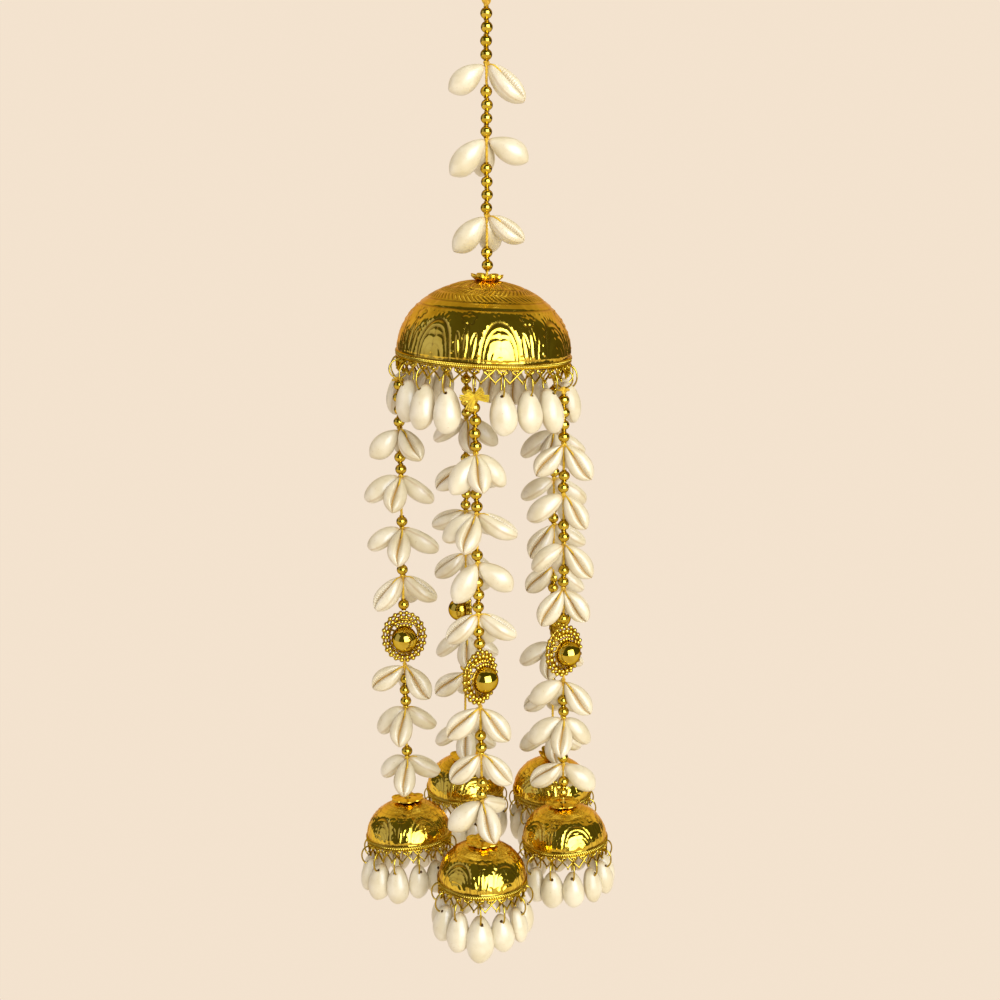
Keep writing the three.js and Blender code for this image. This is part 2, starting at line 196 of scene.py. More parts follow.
def mottled_group():
    """Mottled: an uneven tint, a fine mask of specks and a fine height, from Object coordinates."""
    group = bpy.data.node_groups.new("mottled", "ShaderNodeTree")
    for way, socket, kind in (("INPUT", "Scale", "Float"), ("INPUT", "Low", "Color"),
                              ("INPUT", "High", "Color"), ("OUTPUT", "Color", "Color"),
                              ("OUTPUT", "Patches", "Float"), ("OUTPUT", "Specks", "Float"),
                              ("OUTPUT", "Height", "Float")):
        group.interface.new_socket(socket, in_out=way, socket_type="NodeSocket" + kind)
    given, out = group.nodes.new("NodeGroupInput"), group.nodes.new("NodeGroupOutput")
    spot = add_node(group, "TexCoord").outputs["Object"]
    scale = given.outputs["Scale"]
    broad = add_node(group, "TexNoise", {"Vector": spot, "Scale": scale, "Detail": 3}).outputs["Fac"]
    finer = calculated(group, "MULTIPLY", scale, 7)
    fine = add_node(group, "TexNoise", {"Vector": spot, "Scale": finer, "Detail": 2}).outputs["Fac"]
    patches = ranged(group, broad, 0.35, 0.65, easing="LINEAR")
    feed(group, out, {"Color": mixed(group, patches, given.outputs["Low"], given.outputs["High"]),
                      "Patches": patches, "Specks": ranged(group, fine, 0.66, 0.74, easing="LINEAR"),
                      "Height": fine})
    return group


mottled = mottled_group()


def base_material(name, scale, low, high, bump, roughness):
    """A Principled material with the mottled colour, roughness between two values, and bump."""
    material = bpy.data.materials.new(name)
    material.use_nodes = True
    tree = material.node_tree
    shader = tree.nodes["Principled BSDF"]
    motley = add_node(tree, "Group", {"Scale": scale, "Low": (*low, 1), "High": (*high, 1)},
                      node_tree=mottled)
    dulled = add_node(tree, "MapRange", {"Value": motley.outputs["Patches"],
                                         "To Min": roughness[1], "To Max": roughness[0]})
    raised = add_node(tree, "Bump", {"Height": motley.outputs["Height"], "Strength": bump,
                                     "Distance": 0.0001})
    feed(tree, shader, {"Base Color": motley.outputs["Color"], "Roughness": dulled.outputs["Result"],
                        "Normal": raised.outputs["Normal"]})
    return material, shader, tree, motley, dulled, raised


def cotton_material(name, low, high):
    """Dyed cotton thread, matt with a soft sheen."""
    material, shader, tree = base_material(name, 420, low, high, 0.8, (0.7, 0.85))[:3]
    feed(tree, shader, {"Sheen Weight": 0.4, "Sheen Tint": (1, 0.9, 0.4, 1)})
    return material


cotton = cotton_material("yellow_cotton", (0.50, 0.28, 0.004), (0.80, 0.54, 0.012))


def moved(x, y, z):
    """A shift in millimetres."""
    return Matrix.Translation((x, y, z))


def turned(degrees, axis):
    """A turn about an axis."""
    return Matrix.Rotation(math.radians(degrees), 4, axis)


def add_piece(name, bm, material, slot, *nodes, levels=0):
    """Turns work in millimetres into a finished piece that stands for those CAD nodes."""
    bmesh.ops.scale(bm, vec=(0.001, 0.001, 0.001), verts=bm.verts)
    mesh = bpy.data.meshes.new(name)
    bm.to_mesh(mesh)
    bm.free()
    mesh.shade_smooth()
    if slot == "gold" and not levels:
        mesh.set_sharp_from_angle(angle=math.radians(65))
    mesh.materials.append(material)
    piece = bpy.data.objects.new(name, mesh)
    scene.collection.objects.link(piece)
    if levels:
        rounding = piece.modifiers.new("rounding", "SUBSURF")
        rounding.levels = levels
        rounding.render_levels = levels
    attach(piece, "root")
    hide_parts(*nodes)
    return piece


def twisted(run, plies, spread, lay):
    """The runs of plies that twist round a run of points, one turn in every lay."""
    made = [[] for _ in range(plies)]
    gone = 0.0
    for here, place in enumerate(run):
        ahead = run[min(here + 1, len(run) - 1)] - run[max(here - 1, 0)]
        if here:
            gone += (place - run[here - 1]).length
        side = ahead.cross(Vector((0.3, 1, 0.2))).normalized()
        other = ahead.cross(side).normalized()
        for ply, points in enumerate(made):
            turn = 2 * math.pi * (gone / lay + ply / plies)
            points.append(place + spread * (math.cos(turn) * side + math.sin(turn) * other))
    return made


def knot_run(size, steps=36):
    """A closed trefoil, the shape of a small pulled knot."""
    run = []
    for step in range(steps):
        turn = 2 * math.pi * step / steps
        run.append(Vector((math.sin(turn) + 2 * math.sin(2 * turn),
                           -1.5 * math.sin(3 * turn),
                           math.cos(turn) - 2 * math.cos(2 * turn))) * (size / 3))
    return run


def brush(root, azimuth, rise, length, plies, width):
    """The loose plies of one cut end: a round tuft that spreads and droops a little."""
    way = at_azimuth(math.radians(azimuth), 1, rise).normalized()
    side = way.cross(Vector((0.1, 0.2, 1))).normalized()
    other = way.cross(side).normalized()
    runs = []
    for ply in range(plies):
        out = width * math.sqrt((ply + 0.5) / plies)
        turn = ply * 2.4
        off = side * (out * math.cos(turn)) + other * (out * math.sin(turn))
        reach = length * (0.86 + 0.14 * math.cos(ply * 1.9))
        runs.append([root + way * (reach * along) + off * (0.25 + 0.95 * along ** 0.6)
                     - Vector((0, 0, 0.12 * length * along ** 2))
                     for along in (0, 0.16, 0.33, 0.5, 0.67, 0.84, 1)])
    return runs


LOOP_KNOT = -20.0
tie = bmesh.new()
loop_turns = [2 * math.pi * step / 90 for step in range(91)]
loop_run = [Vector((7.1 * math.sin(turn), 0, -8.5 + 9.6 * math.cos(turn))) for turn in loop_turns]
wires(tie, twisted(loop_run, 4, 0.56, 7.9), 0.55, 6)
knot = wires(tie, [knot_run(2.6)], 1.0, 8, closed=True)
bmesh.ops.transform(tie, matrix=moved(0, 0, LOOP_KNOT), verts=knot)
neck = [Vector((0, 0, -17.6 - step * 0.8)) for step in range(9)]
wires(tie, twisted(neck, 4, 0.6, 6), 0.6, 6)
for azimuth, length in ((-62, 5.5), (70, 6.2), (118, 4.6)):
    wires(tie, brush(Vector((0, 0, LOOP_KNOT)), azimuth, 0.3, length, 9, 0.9), 0.33, 6)
add_piece("tie_loop_thread", tie, cotton, "thread", "tie_loop")


# ---- Beads of the top thread ----
# Hollow 5 mm brass beads, gold plated and polished, threaded in four runs.
# Each has a small rolled collar, which shows as a neck between two beads.
TOP_RUNS = [
    (4, -26.8, -47.8, [(-88, 56, -95, 18.5), (86, 46, -42, 21.5)]),
    (4, -58.8, -78.6, [(-84, 45, -95, 21.2), (92, 62, 80, 19.5), (-165, 38, 0, 18.5)]),
    (4, -91.3, -111.8, [(-92, 43, -90, 20.4), (88, 56, -45, 18.8), (172, 34, 0, 18.5)]),
    (2, -127.6, None, []),
]
PITCH = 5.6


def gold_material(name, scale, bump, roughness, edge, tarnish_and_painted_rim=False, shade=1.0,
                  side=(0.85, 0.52, 0.24), painted_rim_share=0.75):
    """Bright gold plating over brass, darker edge on. Worn gold keeps tarnish where the work is
    cut in, and also gets a painted rim: where it turns away from the view its colour goes
    towards the side colour, which paints the rim's reflections into the colour."""
    low, high = [tuple(part * shade for part in colour)
                 for colour in ((0.76, 0.51, 0.045), (0.94, 0.68, 0.085))]
    material, shader, tree, motley, dulled, _ = base_material(name, scale, low, high, bump, roughness)
    feed(tree, shader, {"Metallic": 1, "Specular Tint": (*edge, 1)})
    if tarnish_and_painted_rim:
        tarnish = add_node(tree, "Attribute", attribute_name="tarnish").outputs["Fac"]
        dark = mixed(tree, calculated(tree, "MULTIPLY", tarnish, 0.75),
                     motley.outputs["Color"], (0.26, 0.125, 0.012))
        # Painted rim: towards the grazing edge the colour turns to the side colour, which stands in for
        # what a polished rim reflects.
        facing = add_node(tree, "LayerWeight", {"Blend": 0.5}).outputs["Facing"]
        feed(tree, shader, {
            "Base Color": mixed(tree, ranged(tree, facing, 0.45, 0.95, painted_rim_share), dark, side),
            "Roughness": calculated(tree, "MULTIPLY_ADD", tarnish, 0.20, dulled.outputs["Result"])})
    return material


polished = gold_material("polished_gold", 260, 0.10, (0.05, 0.12), (0.86, 0.66, 0.42))
ring_gold = gold_material("ring_gold", 260, 0.10, (0.10, 0.20), (0.50, 0.30, 0.10), shade=0.62)
# Painted shade: the bead gold is darkened (shade 0.78) and its side colour paints a dark rim, both
# standing in for the dark room that the beads and rosettes reflect.
bead_gold = gold_material("bead_gold", 260, 0.08, (0.04, 0.09), (0.42, 0.27, 0.10), tarnish_and_painted_rim=True,
                          shade=0.78, side=(0.22, 0.11, 0.015), painted_rim_share=0.85)


def stamp(bm, shape, matrix):
    """Adds a copy of a ready shape, placed by a matrix."""
    start = len(bm.verts)
    bm.from_mesh(shape)
    bm.verts.ensure_lookup_table()
    added = bm.verts[start:]
    bmesh.ops.transform(bm, matrix=matrix, verts=added)
    return added


def spun(profile, steps):
    """A closed turned shape from a profile of radius and height, as a bmesh."""
    bm = bmesh.new()
    ring = [bm.verts.new((radius, 0, height)) for radius, height in profile]
    edges = [bm.edges.new(pair) for pair in zip(ring, ring[1:])]
    bmesh.ops.spin(bm, geom=ring + edges, cent=(0, 0, 0), axis=(0, 0, 1), angle=2 * math.pi,
                   steps=steps, use_merge=True)
    bmesh.ops.remove_doubles(bm, verts=bm.verts, dist=0.0005)
    bmesh.ops.recalc_face_normals(bm, faces=bm.faces)
    return bm


def shape_of(name, bm):
    """Keeps a bmesh as a shape for stamping."""
    shape = bpy.data.meshes.new(name)
    bm.to_mesh(shape)
    bm.free()
    return shape


bead_profile = [(0.5, 2.8), (0.95, 2.8), (1.2, 2.68), (1.15, 2.5), (0.95, 2.34)]
bead_profile += [(2.62 * math.sin(math.radians(turn)), 2.45 * math.cos(math.radians(turn)))
                 for turn in range(26, 160, 16)]
bead_profile += [(0.95, -2.34), (1.15, -2.5), (1.2, -2.68), (0.95, -2.8), (0.5, -2.8), (0.5, 2.8)]
bead_bm = spun(bead_profile, 18)
tarnish = bead_bm.verts.layers.float.new("tarnish")
for vert in bead_bm.verts:
    vert[tarnish] = 1.0 if 2.3 < abs(vert.co.z) < 2.4 or abs(vert.co.z) > 2.75 else 0.0
bead_shape = shape_of("bead", bead_bm)

top_beads = bmesh.new()
for count, first, knot_height, shells in TOP_RUNS:
    for number in range(count):
        sway = 0.2 * math.cos(number * 2 + first)
        stamp(top_beads, bead_shape, moved(sway, 0, first - number * PITCH))
top_nodes = [f"top_beads_{n}" for n in range(1, 5)]
add_piece("top_thread_beads", top_beads, bead_gold, "gold", *top_nodes)


# ---- Top thread and its knots ----
# The same yellow cotton runs through every bead. It is knotted under each run of beads
# to hold the tips of the shells, and ends in a large knot inside the dome.
COWRIE_LENGTH = 20.0


def tied(azimuth, fall, roll, length, reach, height):
    """Places a shell that is tied by its tip, fallen outwards from plumb towards an azimuth."""
    grown = length / COWRIE_LENGTH
    return (moved(0, 0, height) @ turned(azimuth, "Z") @ moved(0, -reach, 0) @ turned(-fall, "X")
            @ turned(roll, "Z") @ Matrix.Diagonal((grown ** 0.5, grown, grown, 1)))


def shell_threads(bm, places, knot_height):
    """The end of thread that ties each shell: from the knot, over the tip and into the mouth."""
    over = ((0, 0.1, 0.5), (0, -1.1, -0.2), (0, -2.0, -1.6),
            (0.05, -2.3, -3.4), (0.1, -2.0, -5.2), (0.1, -1.0, -6.6))
    runs = [[Vector((0, 0, knot_height))] + [place @ Vector(point) for point in over] for place in places]
    wires(bm, runs, 0.42, 6)


def knot_at(bm, size, radius, height, turn=0.0):
    """A small pulled knot on a thread."""
    knot = wires(bm, [knot_run(size, 24)], radius, 6, closed=True)
    place = moved(0, 0, height) @ Matrix.Rotation(turn, 4, "Z")
    bmesh.ops.transform(bm, matrix=place, verts=knot)


def thread_along(bm, run):
    """Three-ply thread along a run of points."""
    wires(bm, twisted(run, 3, 0.34, 5), 0.36, 6)


TOP_REACH = 1.0
top_cord = bmesh.new()
thread_along(top_cord, [Vector((0, 0, -22.5 - step * 1.1)) for step in range(112)])
for count, first, knot_height, shells in TOP_RUNS:
    if knot_height is not None:
        knot_at(top_cord, 1.15, 0.44, knot_height + 0.6)
        places = [tied(*shell, TOP_REACH, knot_height - 0.4) for shell in shells]
        shell_threads(top_cord, places, knot_height + 0.6)
knot_at(top_cord, 1.7, 0.6, -142.6)
add_piece("top_thread_cord", top_cord, cotton, "thread", *top_nodes)


# ---- Cowries of the top thread ----
# Natural cowries about 20 mm long, cream white. The back is a smooth egg-shaped dome.
# The mouth is a long slit between two fat toothed lips, and each hangs by its narrow tip.
COWRIE_WIDTH, BACK_DEPTH, MOUTH_DEPTH = 11.4, 5.6, 3.7
ALONG = [0.03, 0.14, 0.28, 0.45, 0.62, 0.78, 0.91, 0.985]
BREADTH = [0.30, 0.60, 0.84, 1.01, 1.06, 0.97, 0.70, 0.34]
BACK = [0.38, 0.70, 0.93, 1.04, 1.02, 0.86, 0.58, 0.30]
MOUTH = [0.48, 0.78, 0.96, 1.05, 1.08, 1.00, 0.78, 0.48]
TAPER = [0.74, 0.86, 0.96, 1.0, 1.0, 0.97, 0.88, 0.72]
# Round the shell from the slit to the back: share of half the breadth, and of the depth of the
# mouth (below 0) or the back (above 0).
AROUND = [(0.0, -0.10), (0.10, -0.64), (0.27, -1.0), (0.56, -0.98),
          (0.88, -0.60), (1.02, 0.02), (0.72, 0.74), (0.0, 1.02)]


def cowrie_shape(name, drilled):
    """One cowrie cage: tip at the origin, length down -Z, mouth towards -Y. Tied shells taper."""
    bm = bmesh.new()
    bmesh.ops.create_uvsphere(bm, u_segments=14, v_segments=9, radius=1)
    marks = bm.loops.layers.uv.new("shell")
    # The drilled hole's inner vertices are marked, and the shell's material paints them dark as painted
    # shade of the hole.
    hole_shade = bm.verts.layers.float.new("hole_shade")
    places = {}
    back_row = []
    for vert in bm.verts:
        row = round((math.pi / 2 - math.asin(max(-1, min(1, vert.co.z)))) / (math.pi / 9))
        if row in (0, 9):
            places[vert] = (0.0, 0.0 if row == 0 else 1.0)
            foot = -(1.01 if drilled else 1.02) * COWRIE_LENGTH
            vert.co = (0, 0.2, 0.25) if row == 0 else (0, 0.5, foot)
            continue
        column = round(math.atan2(vert.co.x, -vert.co.y) / (math.pi / 7))
        across, deep = AROUND[abs(column)]
        drift = (0.15 * math.cos(math.pi * (row - 1) / 7) - 0.17) * (1 - abs(column) / 7)
        breadth = BREADTH[row - 1] * (1 if drilled else TAPER[row - 1])
        x = (math.copysign(across, column) + drift) * breadth * COWRIE_WIDTH / 2
        y = deep * (BACK[row - 1] * BACK_DEPTH if deep > 0 else MOUTH[row - 1] * MOUTH_DEPTH)
        places[vert] = (column / 14, ALONG[row - 1])
        vert.co = (x, y, -ALONG[row - 1] * COWRIE_LENGTH)
        if abs(column) == 7 and row == 2:
            back_row.append(vert)
    for face in bm.faces:
        left = face.calc_center_median().x < 0
        rim = [places[vert][0] for vert in face.verts if places[vert][1] not in (0.0, 1.0)]
        for loop in face.loops:
            around, along = places[loop.vert]
            if along in (0.0, 1.0):
                around = sum(abs(value) for value in rim) / len(rim) * (-1 if left else 1)
            elif abs(around) == 0.5:
                around = -0.5 if left else 0.5
            loop[marks].uv = (around + 0.5, along)
    if drilled:
        cut = bmesh.ops.bevel(bm, geom=back_row, offset=1.35, offset_type="OFFSET", segments=1,
                              profile=0.5, affect="VERTICES", material=-1)
        mouth = [face for face in cut["faces"] if face.is_valid]
        for depth in (-0.15, -1.5):
            bmesh.ops.inset_region(bm, faces=mouth, thickness=0.22, depth=depth, use_even_offset=True)
            for face in mouth:
                for vert in face.verts:
                    vert[hole_shade] = 1.0
    bmesh.ops.recalc_face_normals(bm, faces=bm.faces)
    return shape_of(name, bm)


cowrie = cowrie_shape("cowrie", False)
drilled_cowrie = cowrie_shape("drilled_cowrie", True)


def cowrie_material():
    """Glossy cream shell: a golden-brown line of painted shade along the slit, toothed lips, a
    fine line round the rim, a few specks, and painted shade in the drilled hole.
    """
    material, shader, tree, motley, _, raised = base_material(
        "cowrie_shell", 110, (0.66, 0.59, 0.41), (0.78, 0.73, 0.58), 0.05, (0.28, 0.40))

    def times(first, second):
        return calculated(tree, "MULTIPLY", first, second)

    def plus(first, second):
        return calculated(tree, "ADD", first, second)

    marks = add_node(tree, "UVMap", uv_map="shell").outputs["UV"]
    split = add_node(tree, "SeparateXYZ", {"Vector": marks})
    around = calculated(tree, "ABSOLUTE", calculated(tree, "SUBTRACT", split.outputs["X"], 0.5))
    along = split.outputs["Y"]
    # Painted shade: the slit is closed in the mesh, so a golden-brown line along it stands in for the
    # shade inside the open mouth.
    slit = ranged(tree, plus(around, times(along, 0.028)), 0.085, 0.045)
    lips = times(ranged(tree, around, 0.165, 0.10), ranged(tree, around, 0.055, 0.08))
    ribs = times(plus(calculated(tree, "SINE", times(along, 112)), 1), lips)
    margin = times(ranged(tree, around, 0.295, 0.315), ranged(tree, around, 0.345, 0.325))
    # Painted shade: the drilled hole's inset is painted near black-brown, standing in for the shade
    # inside the hole.
    hole_shade = add_node(tree, "Attribute", attribute_name="hole_shade").outputs["Fac"]
    colour = motley.outputs["Color"]
    for mask, stain in ((times(margin, 0.38), (0.42, 0.27, 0.09)),
                        (times(ribs, 0.16), (0.50, 0.34, 0.13)),
                        (times(motley.outputs["Specks"], 0.30), (0.42, 0.27, 0.09)),
                        (times(ranged(tree, along, 0.10, 0.0), 0.45), (0.58, 0.38, 0.13)),
                        (times(slit, 0.92), (0.50, 0.29, 0.05)),
                        (ranged(tree, hole_shade, 0.35, 0.75), (0.14, 0.065, 0.015))):
        colour = mixed(tree, mask, colour, stain)
    height = plus(times(ribs, 0.8), times(motley.outputs["Height"], 0.2))
    feed(tree, raised, {"Height": height, "Strength": 0.5, "Distance": 0.00018})
    feed(tree, shader, {"Base Color": colour, "Coat Weight": 0.2, "Coat Roughness": 0.2})
    return material


shell_white = cowrie_material()

top_shells = bmesh.new()
for count, first, knot_height, shells in TOP_RUNS:
    for shell in shells:
        stamp(top_shells, cowrie, tied(*shell, TOP_REACH, knot_height - 0.4))
add_piece("top_thread_cowries", top_shells, shell_white, "shell",
          *[f"top_shell_{n}" for n in range(1, 9)], levels=1)


# ---- Petal caps ----
# A flower of six petals pressed from thin sheet and plated, threaded on over each dome's crown.
# The petals curl up and outwards round the lowest bead.
def cap_shape(name, profile, notch, grow, thickness=0.6):
    """One petal cap: seat at the origin, petals notched by that share, heights grown."""
    bm = spun(profile, 48)
    seat, widest = 2.7, profile[-1][0]
    for vert in bm.verts:
        radius = math.hypot(vert.co.x, vert.co.y)
        if radius > seat:
            beyond = (radius - seat) / (widest - seat)
            petal = abs(math.cos(3 * math.atan2(vert.co.x, -vert.co.y))) ** 0.5
            keep = 1 - notch * beyond * (1 - petal)
            vert.co.x *= keep
            vert.co.y *= keep
            vert.co.z *= (0.65 + 0.35 * petal) * grow
    bmesh.ops.solidify(bm, geom=bm.faces[:], thickness=thickness)
    bmesh.ops.recalc_face_normals(bm, faces=bm.faces)
    return shape_of(name, bm)


MAIN_TOP = -139.6
main_place = moved(0, 0, MAIN_TOP) @ turned(2.4, "X") @ turned(2.7, "Y")
TOP_CAP = [(1.3, 0.2), (3.0, 0.15), (4.3, 0.35), (5.5, 0.95),
           (6.4, 1.75), (6.9, 2.35), (7.3, 2.65), (7.6, 2.5)]
top_cap = bmesh.new()
stamp(top_cap, cap_shape("top_cap", TOP_CAP, notch=0.34, grow=1.0, thickness=1.0),
      main_place @ turned(28, "Z"))
add_piece("top_petal_cap", top_cap, polished, "gold", "top_cap", levels=1)


# ---- Main dome ----
# Pressed from brass sheet and chased by hand: leaves round the crown, two herringbone strips,
# a ring of dots, then arches of feathers with tall petals and a flower between them. Tarnish
# stays in the lines.
def groove(distance, width):
    """How deep a chased line is at a distance from its middle, from 1 to 0."""
    return math.exp(-(distance / width) ** 2) if abs(distance) < 2.5 * width else 0.0


def chased(azimuth, polar, radius, size, pattern, line):
    """Height of the chasing over the plain sheet, in depths of a line: lines go in, dots stand out."""
    arches, wide, tall, strips = pattern
    across = radius * math.sin(polar)
    up = (math.pi / 2 - polar) * size
    sector = 2 * math.pi / arches
    turn = (azimuth / sector) % 1 - 0.5
    shoulder = strips[-1] + 0.08
    relief = 0.0
    calm = 1.0 if len(strips) > 1 else 0.45
    strip_half = 0.062
    if polar < shoulder + 0.045:
        rays = arches * 2
        if polar < 0.46:
            ray = (azimuth * rays / (2 * math.pi)) % 1 - 0.5
            width = 2 * math.pi * across / rays
            edge = 0.44 * math.sin(math.pi * min(1.0, max(0.0, (polar - 0.03) / 0.43))) ** 0.7
            relief -= groove((abs(ray) - edge) * width, line)
            if abs(ray) < edge:
                relief += 0.5 * (1 - abs(ray) / edge) - 0.9 * groove(ray * width, line * 0.8)
        for strip, slant in zip(strips, (1.0, -1.0)):
            near = (polar - strip) / strip_half
            if abs(near) < 1:
                strokes = round(2 * math.pi * radius * math.sin(strip) / (line * 4.6))
                phase = azimuth * strokes / (2 * math.pi) + slant * near * strip_half * size / (line * 6)
                relief -= 1.5 * max(0.0, math.cos(2 * math.pi * phase)) ** 2 * (1 - near ** 4)
        relief -= groove((polar - 0.455) * size, line * 0.8)
        relief -= groove((polar - shoulder) * size, line * 0.9)
        return relief * calm

    def dots(distance, along, pitch):
        bump = groove(distance, line * 1.15)
        return 1.25 * bump * max(0.0, math.cos(math.pi * along / pitch)) ** 2 if bump > 0.02 else 0.0

    below = (polar - shoulder - 0.08) * size
    relief += 0.5 * calm * groove(below, line * 1.1)
    relief -= calm * groove(below - 3.2 * line, line)
    relief += dots(below - 7 * line, azimuth * across, line * 3.0)
    relief -= groove(up - 1.4 * line, line * 0.7)
    x = turn * sector * across
    ratio = math.hypot(x / wide, max(0.0, up) / tall)
    if polar > shoulder + 0.08 + 9 * line / size:
        round_arch = math.atan2(up / tall, x / wide) * (wide + tall) / 2
        relief += dots((ratio - 1.24) * wide, round_arch, line * 2.8)
    relief -= groove((ratio - 1.08) * wide, line)
    if ratio < 1.08:
        relief += 0.7 * (1 - ratio ** 2)
        relief -= 0.8 * groove((ratio - 0.88) * wide, line * 0.8)
        if ratio < 0.86:
            feather = (ratio * wide - 0.35 * abs(x)) / (line * 4.4)
            relief -= 0.75 * groove(((feather % 1) - 0.5) * line * 4.4, line * 0.8)
            relief -= 0.8 * groove(x, line * 0.8)
    elif ratio > 1.34:
        x = (math.copysign(0.5, turn) - turn) * sector * across
        for petal, reach in ((0.0, 1.04), (-0.36, 0.80), (0.36, 0.80)):
            height = up / (reach * tall)
            if 0 < height < 1:
                half = 0.145 * wide * math.sin(math.pi * height ** 0.8) ** 0.75
                off = abs(x - petal * wide * (1 + 0.5 * height))
                relief -= groove(off - half, line * 0.85)
                if off < half:
                    relief += 0.7 * (1 - off / half)
        flower = math.hypot(x, up - 1.17 * tall)
        if flower < 0.32 * tall:
            spin = math.atan2(x, up - 1.17 * tall)
            rim = 0.17 * tall * (0.72 + 0.38 * abs(math.cos(2.5 * spin)))
            relief -= groove(flower - rim, line * 0.9)
            relief += 0.9 * groove(flower, line * 1.4)
    return relief


def dome_sheet(radius, height, wall, hole, rows, steps, pattern, line, depth, uneven):
    """A chased dome: crown at the origin, open at the foot, with a real wall. pattern: how many
    arches, their half breadth and height, and the polar angles of the herringbone strips."""
    inset = math.asin(hole / radius)
    turns = [inset + (math.pi / 2 - inset) * row / rows for row in range(rows + 1)]
    outer = [(radius * math.sin(turn), -height * (1 - math.cos(turn))) for turn in turns]
    few = turns[::-1][::8] + [turns[0]]
    inner = [((radius - wall) * math.sin(turn), -wall - (height - wall) * (1 - math.cos(turn)))
             for turn in few]
    bm = spun(outer + inner + outer[:1], steps)
    tarnish = bm.verts.layers.float.new("tarnish")
    for vert in bm.verts:
        flat = math.hypot(vert.co.x, vert.co.y)
        if math.hypot(flat / radius, (vert.co.z + height) / height) < 1 - 0.35 * wall / radius:
            vert[tarnish] = 0.6
            continue
        polar = math.atan2(flat / radius, (vert.co.z + height) / height)
        azimuth = math.atan2(vert.co.x, -vert.co.y) % (2 * math.pi)
        relief = chased(azimuth, polar, radius, (radius + height) / 2, pattern, line)
        vert[tarnish] = max(0.0, min(1.0, -relief))
        fade = min(1.0, max(0.0, (math.pi / 2 - polar) / 0.03))
        beaten = uneven * (noise.noise(vert.co / (radius * 0.15))
                           + 0.5 * noise.noise(vert.co / (radius * 0.06)))
        outwards = Vector((vert.co.x / radius ** 2, vert.co.y / radius ** 2,
                           (vert.co.z + height) / height ** 2))
        vert.co += outwards.normalized() * ((beaten + depth * relief) * fade)
    return bm


def milgrain_band(radius, top, foot, grains):
    """A rim band of two rows of tiny grains between plain wires."""
    span = top - foot
    rows = ((0.0, 0.1), (0.05, 0.5), (0.15, 0.62), (0.24, 0.2), (0.33, 0.5), (0.42, 0.5), (0.5, 0.15),
            (0.58, 0.5), (0.67, 0.5), (0.76, 0.2), (0.84, 0.55), (0.94, 0.5), (1.0, 0.1))
    profile = [(radius - 0.9, top)] + [(radius + out, top - down * span) for down, out in rows]
    profile += [(radius - 0.9, foot), (radius - 0.9, top)]
    bm = spun(profile, grains * 3)
    for vert in bm.verts:
        flat = math.hypot(vert.co.x, vert.co.y)
        down = (top - vert.co.z) / span
        if flat > radius + 0.3 and 0.3 < down < 0.72:
            turn = math.atan2(vert.co.x, vert.co.y) * grains + (0 if down < 0.5 else math.pi)
            bead = 1 + (0.36 * math.cos(turn) - 0.2) / flat
            vert.co.x *= bead
            vert.co.y *= bead
    return bm


# Painted shade: the same plating darkened to 0.62, so that the round band does not shine with the window
# all the way round.
band_gold = gold_material("band_gold", 260, 0.10, (0.05, 0.11), (0.74, 0.54, 0.30), shade=0.62)
# Painted reflection: the default side colour paints an orange rim where the dome turns away from the
# view, standing in for the pale room that it reflects.
chased_gold = gold_material("chased_gold", 120, 0.18, (0.045, 0.11), (0.86, 0.66, 0.42), tarnish_and_painted_rim=True)
MAIN_RADIUS, MAIN_HEIGHT = 40, 32.4
main_sheet = dome_sheet(MAIN_RADIUS, MAIN_HEIGHT, wall=0.8, hole=1.5, rows=122, steps=470,
                        pattern=(8, 8.0, 18.1, (0.52, 0.655)), line=0.46, depth=0.24, uneven=0.20)
sheet_turn = main_place @ turned(-11.5, "Z")
bmesh.ops.transform(main_sheet, matrix=sheet_turn, verts=main_sheet.verts)
add_piece("main_dome_sheet", main_sheet, chased_gold, "gold", "main_dome")


# ---- Rim band and wire gallery of the main dome ----
# A strip of milgrain wire is soldered round the foot of the dome. Below it two zigzag wires
# cross to make a row of open diamonds, with a wire heart and a grain in each upper gap.
def gallery(bm, radius, foot, drop, hangers, phase, wire, heart):
    """The two zigzag wires with their hearts and grains, hung from a band's foot."""
    def place(azimuth, out, height):
        return at_azimuth(azimuth, radius + out, height)

    step = math.pi / hangers
    for weave in (0, 1):
        run = []
        for bend in range(2 * hangers):
            height = foot - drop + wire / 2 if (bend + weave) % 2 == 0 else foot + wire * 0.4
            run.append(place(phase + step * (bend + 0.5), 0.3 * wire * (1 - 2 * weave), height))
        wires(bm, [run], wire / 2, 8, closed=True)
    hearts = []
    for gap in range(2 * hangers):
        azimuth = phase + step * gap
        heart_run = []
        for turn in range(11):
            angle = math.pi * (turn / 5 - 1)
            sideways = heart * math.sin(angle) ** 3
            rise = heart * (0.44 * math.cos(angle) - 0.17 * math.cos(2 * angle)
                            - 0.06 * math.cos(3 * angle))
            heart_run.append(place(azimuth + sideways / radius, 0.15, foot - 0.52 * heart + rise))
        hearts.append(heart_run)
    wires(bm, hearts, wire * 0.40, 6)
    grain = bmesh.new()
    bmesh.ops.create_icosphere(grain, subdivisions=2, radius=wire * 0.62)
    grain_shape = shape_of("grain", grain)
    for gap in range(2 * hangers):
        azimuth = phase + step * gap
        stamp(bm, grain_shape, Matrix.Translation(place(azimuth, wire * 0.35, foot - 0.66 * heart)))
        tip = Matrix.Translation(place(azimuth + step / 2, 0.1, foot - drop + wire * 0.3))
        stamp(bm, grain_shape, tip @ Matrix.Scale(0.8, 4))


